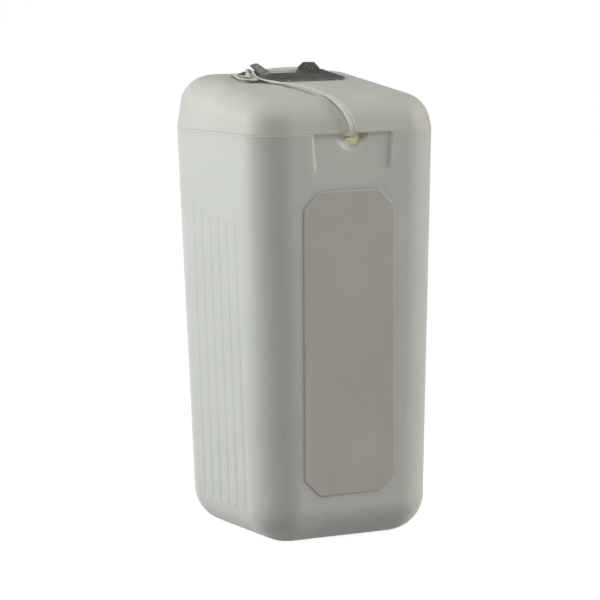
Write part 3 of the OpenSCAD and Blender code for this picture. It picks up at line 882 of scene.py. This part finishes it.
def flat_plate():
    """The plate's outline: cut corners, and a window open to the back"""
    left, right = PLATE_X - PLATE_HALF, PLATE_X + PLATE_HALF
    cut, corner = 1.1, 4.3
    window_left, window_right, window_front = -2.0, 5.2, PLATE_BACK - 2.8
    return slab("cutter", [(left + cut, PLATE_FRONT), (right - cut, PLATE_FRONT),
                           (right, PLATE_FRONT + cut), (right, PLATE_BACK),
                           (window_right, PLATE_BACK), (window_right, window_front),
                           (window_left, window_front), (window_left, PLATE_BACK),
                           (left + corner, PLATE_BACK), (left, PLATE_BACK - corner),
                           (left, PLATE_FRONT + cut)], 0, PLATE_THICK)


def stamp_tooth(plate, outline, at, turn):
    """Cuts a tooth's hole out of the plate and stands the tooth up at the hole's edge"""
    cut_gap = 0.12
    place = (Matrix.Translation(Vector((at[0], at[1], 0)) * MM)
             @ Matrix.Rotation(math.radians(turn), 4, "Z"))
    hole = slab("tooth_hole", [(x, y + cut_gap) for x, y in outline], -1, 1)
    hole.data.transform(place)
    carve(plate, hole)
    tooth = slab("tooth", outline, 0, PLATE_THICK)
    tooth.data.transform(place @ Matrix.Rotation(math.pi / 2, 4, "X"))
    carve(plate, tooth, "UNION")


def add_leg(plate, x):
    """A leg that goes down through the cap, and its foot bent in under the cap's top"""
    front, back = LEG_Y - LEG_HALF, LEG_Y + LEG_HALF
    half, foot_half = PLATE_THICK / 2, 0.8
    drop = CAP_THICK + LEG_GAP + PLATE_THICK
    carve(plate, bar("leg", (x - half, front, -drop), (x + half, back, PLATE_THICK)), "UNION")
    foot_x = x - math.copysign(foot_half, x)
    carve(plate, bar("foot", (foot_x - foot_half, front, -drop),
                     (foot_x + foot_half, back, PLATE_THICK - drop)), "UNION")


def make_cutter():
    plate = flat_plate()
    for outline, at, turn in TEETH:
        stamp_tooth(plate, outline, at, turn)
    for x in LEG_PLACES:
        add_leg(plate, x)
    tidy(plate)
    to_top(plate)
    soften(plate, 0.06, 40)
    smooth_by(plate, 40)
    even_normals(plate)
    plate.data.materials.append(cutter_steel("dull_cutter_steel", colour(143, 141, 138), colour(94, 92, 91)))
    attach(plate, "lid")
    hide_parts("cutter_plate")


# The label

def make_label():
    half, high, cut, low, middle, sunk = 9.175, 54.9, 3.1, 8.8, -0.8, 0.01
    corner_round, rim_wide = 0.5, 0.22
    corners = [(-half + cut, 0), (half - cut, 0), (half, cut), (half, high - cut), (half - cut, high),
               (-half + cut, high), (-half, high - cut), (-half, cut)]
    rim, thick = 0.04, 0.12
    label = slab("plain_label", corners, 0, rim)
    pick(label, "EDGE", lambda e: abs(e.verts[0].co.z - e.verts[1].co.z) > rim / 2 * MM)
    bpy.ops.mesh.bevel(offset=corner_round * MM, segments=5, affect="EDGES")
    leave_edit()
    pick(label, "FACE", lambda f: f.normal.z > 0.9)
    bpy.ops.mesh.inset(thickness=rim_wide * MM, depth=(thick - rim) * MM)
    leave_edit()
    on_front(label, middle, -sunk, low)
    smooth_by(label, 10)
    label.data.materials.append(label_paper("plain_label_paper"))
    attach(label, "case")
    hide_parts("front_label")


# The winding

def make_winding():
    """The wound floss: a body of many turns, its top edge rounded"""
    hub, outer, low, high, rounding = 6.5, 14.87, 8.2, 57.4, 3.0
    turns, groove, bends, dent, tuck, rings, furrow = 62, 0.14, 12, 0.07, 0.02, 10, 0.1
    straight, shoulder = high - rounding, outer - rounding
    outline = [(hub, low)]
    for i in range(turns):
        z = low + (straight - low) * i / turns
        step = (straight - low) / turns
        for share, swell in ((0.05, 0.0), (0.3, 1.0), (0.7, 1.0), (0.95, 0.0)):
            outline.append((outer - groove * (1 - swell), z + step * share))
    for i in range(bends + 1):
        angle = math.radians(90 * i / bends)
        reach = rounding - dent * (i % 2)
        outline.append((shoulder + reach * math.cos(angle) - tuck, straight + reach * math.sin(angle)))
    for i in range(1, rings + 1):
        outline.append((shoulder - (shoulder - hub) * i / rings, high - furrow * (i % 2)))
    winding = turned("wound_floss", outline, 96)
    smooth_by(winding, 50)
    finish, nodes, links, shader = new_finish("wound_floss_turns")
    fibres = place_noise(nodes, links, 700, detail=4, stretch=(1, 1, 5))
    links.new(colour_by(nodes, links, fibres, [(0.3, colour(218, 215, 203)), (0.7, colour(243, 241, 233))]),
              shader.inputs["Base Color"])
    bump_from(nodes, links, shader, fibres, 0.5, 0.0001)
    set_sockets(shader, Roughness=0.45, Sheen_Weight=0.3)
    winding.data.materials.append(finish)
    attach(winding, "spool")
    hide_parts("floss_winding")


# The solids of the frame that stay in view

def dress_node(name, finish):
    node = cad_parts[name]
    node.data.materials.clear()
    node.data.materials.append(finish)


def dress_inside():
    milk = 0.15
    post = milky_plastic("post_plastic", colour(229, 229, 222), colour(221, 221, 214), milk)
    spool = milky_plastic("spool_plastic", colour(236, 236, 229), colour(228, 228, 220), milk)
    dress_node("spool_post", post)
    dress_node("spool_retainer", post)
    dress_node("spool_core", spool)
    dress_node("hinge_pin", drawn_wire("hinge_wire"))


# The floor, the lights and the world

def soft_sun(name, towards, height, strength, spread, tint):
    """A soft far lamp: where it stands as X and Y, how high in degrees, and its strength as a share of
    the light at which a colour renders as written"""
    bpy.ops.object.light_add(type="SUN")
    lamp = bpy.context.object
    lamp.name = name
    lamp.data.energy = strength * math.pi
    lamp.data.angle = math.radians(spread)
    lamp.data.color = tint
    side = Vector(towards).normalized() * math.cos(math.radians(height))
    source = Vector((side[0], side[1], math.sin(math.radians(height))))
    lamp.rotation_euler = (-source).to_track_quat("-Z", "Y").to_euler()


def soft_panel(name, at, size, strength, tint):
    """A square panel that looks at the upper case. Its strength there is a share of the light at which
    a colour renders as written"""
    bpy.ops.object.light_add(type="AREA", location=at)
    lamp = bpy.context.object
    lamp.name = name
    lamp.data.shape = "SQUARE"
    lamp.data.size = size
    lamp.data.color = tint
    looks_at = Vector((0, 0, 0.06))
    way = looks_at - Vector(at)
    lamp.data.energy = strength * math.pi ** 2 * way.length_squared
    lamp.rotation_euler = way.to_track_quat("-Z", "Y").to_euler()


def make_floor():
    """A pale floor that glows where the camera sees it, so that it looks white but keeps a shadow"""
    bpy.ops.mesh.primitive_plane_add(size=8)
    floor = bpy.context.object
    floor.name = "pale_floor"
    finish, nodes, links, shader = new_finish("pale_floor_paint")
    set_sockets(shader, Roughness=0.9, Specular_IOR_Level=0.0)
    ray = nodes.new("ShaderNodeLightPath")
    seen = nodes.new("ShaderNodeMath")
    seen.operation = "MAXIMUM"
    links.new(ray.outputs["Is Camera Ray"], seen.inputs[0])
    links.new(ray.outputs["Is Glossy Ray"], seen.inputs[1])
    paint = nodes.new("ShaderNodeMix")
    paint.data_type = "RGBA"
    paint.inputs["A"].default_value = (0.36, 0.36, 0.35, 1)
    paint.inputs["B"].default_value = (0.3, 0.3, 0.3, 1)
    links.new(seen.outputs[0], paint.inputs["Factor"])
    links.new(paint.outputs["Result"], shader.inputs["Base Color"])
    glow = nodes.new("ShaderNodeMath")
    glow.operation = "MULTIPLY"
    glow.inputs[1].default_value = 0.92
    links.new(seen.outputs[0], glow.inputs[0])
    links.new(glow.outputs[0], shader.inputs["Emission Strength"])
    shader.inputs["Emission Color"].default_value = (1, 1, 1, 1)
    floor.data.materials.append(finish)


def make_room():
    """A world that is white to the camera and through glass, and dim as a light"""
    world = bpy.data.worlds.new("pale_room")
    bpy.context.scene.world = world
    world.use_nodes = True
    nodes, links = world.node_tree.nodes, world.node_tree.links
    room = nodes["Background"]
    ray = nodes.new("ShaderNodeLightPath")
    either = nodes.new("ShaderNodeMath")
    either.operation = "MAXIMUM"
    links.new(ray.outputs["Is Camera Ray"], either.inputs[0])
    links.new(ray.outputs["Is Transmission Ray"], either.inputs[1])
    bright = nodes.new("ShaderNodeMapRange")
    bright.inputs["To Min"].default_value = 0.04
    bright.inputs["To Max"].default_value = 1.0
    links.new(either.outputs[0], bright.inputs["Value"])
    links.new(bright.outputs["Result"], room.inputs["Strength"])
    room.inputs["Color"].default_value = (1, 1, 1, 1)


def make_lights():
    soft_sun("fill_lamp", (0.93, -0.36), 15, 0.57, 40, (1.0, 0.97, 0.925))
    soft_sun("over_lamp", (-0.3, -0.3), 75, 0.10, 30, (1.0, 1.0, 0.99))
    soft_panel("key_panel", (-0.3, 0.18, 0.17), 0.24, 0.83, (0.97, 1.0, 0.985))
    soft_panel("top_panel", (-0.12, -0.26, 0.46), 0.26, 0.33, (1.0, 0.99, 0.95))


def main():
    place_camera()
    make_ribbon()
    make_lead()
    make_case()
    make_cap()
    make_cutter()
    make_label()
    make_winding()
    dress_inside()
    make_floor()
    make_room()
    make_lights()
    bpy.context.scene.view_settings.view_transform = "Standard"


main()
deselect()
bpy.context.view_layer.update()
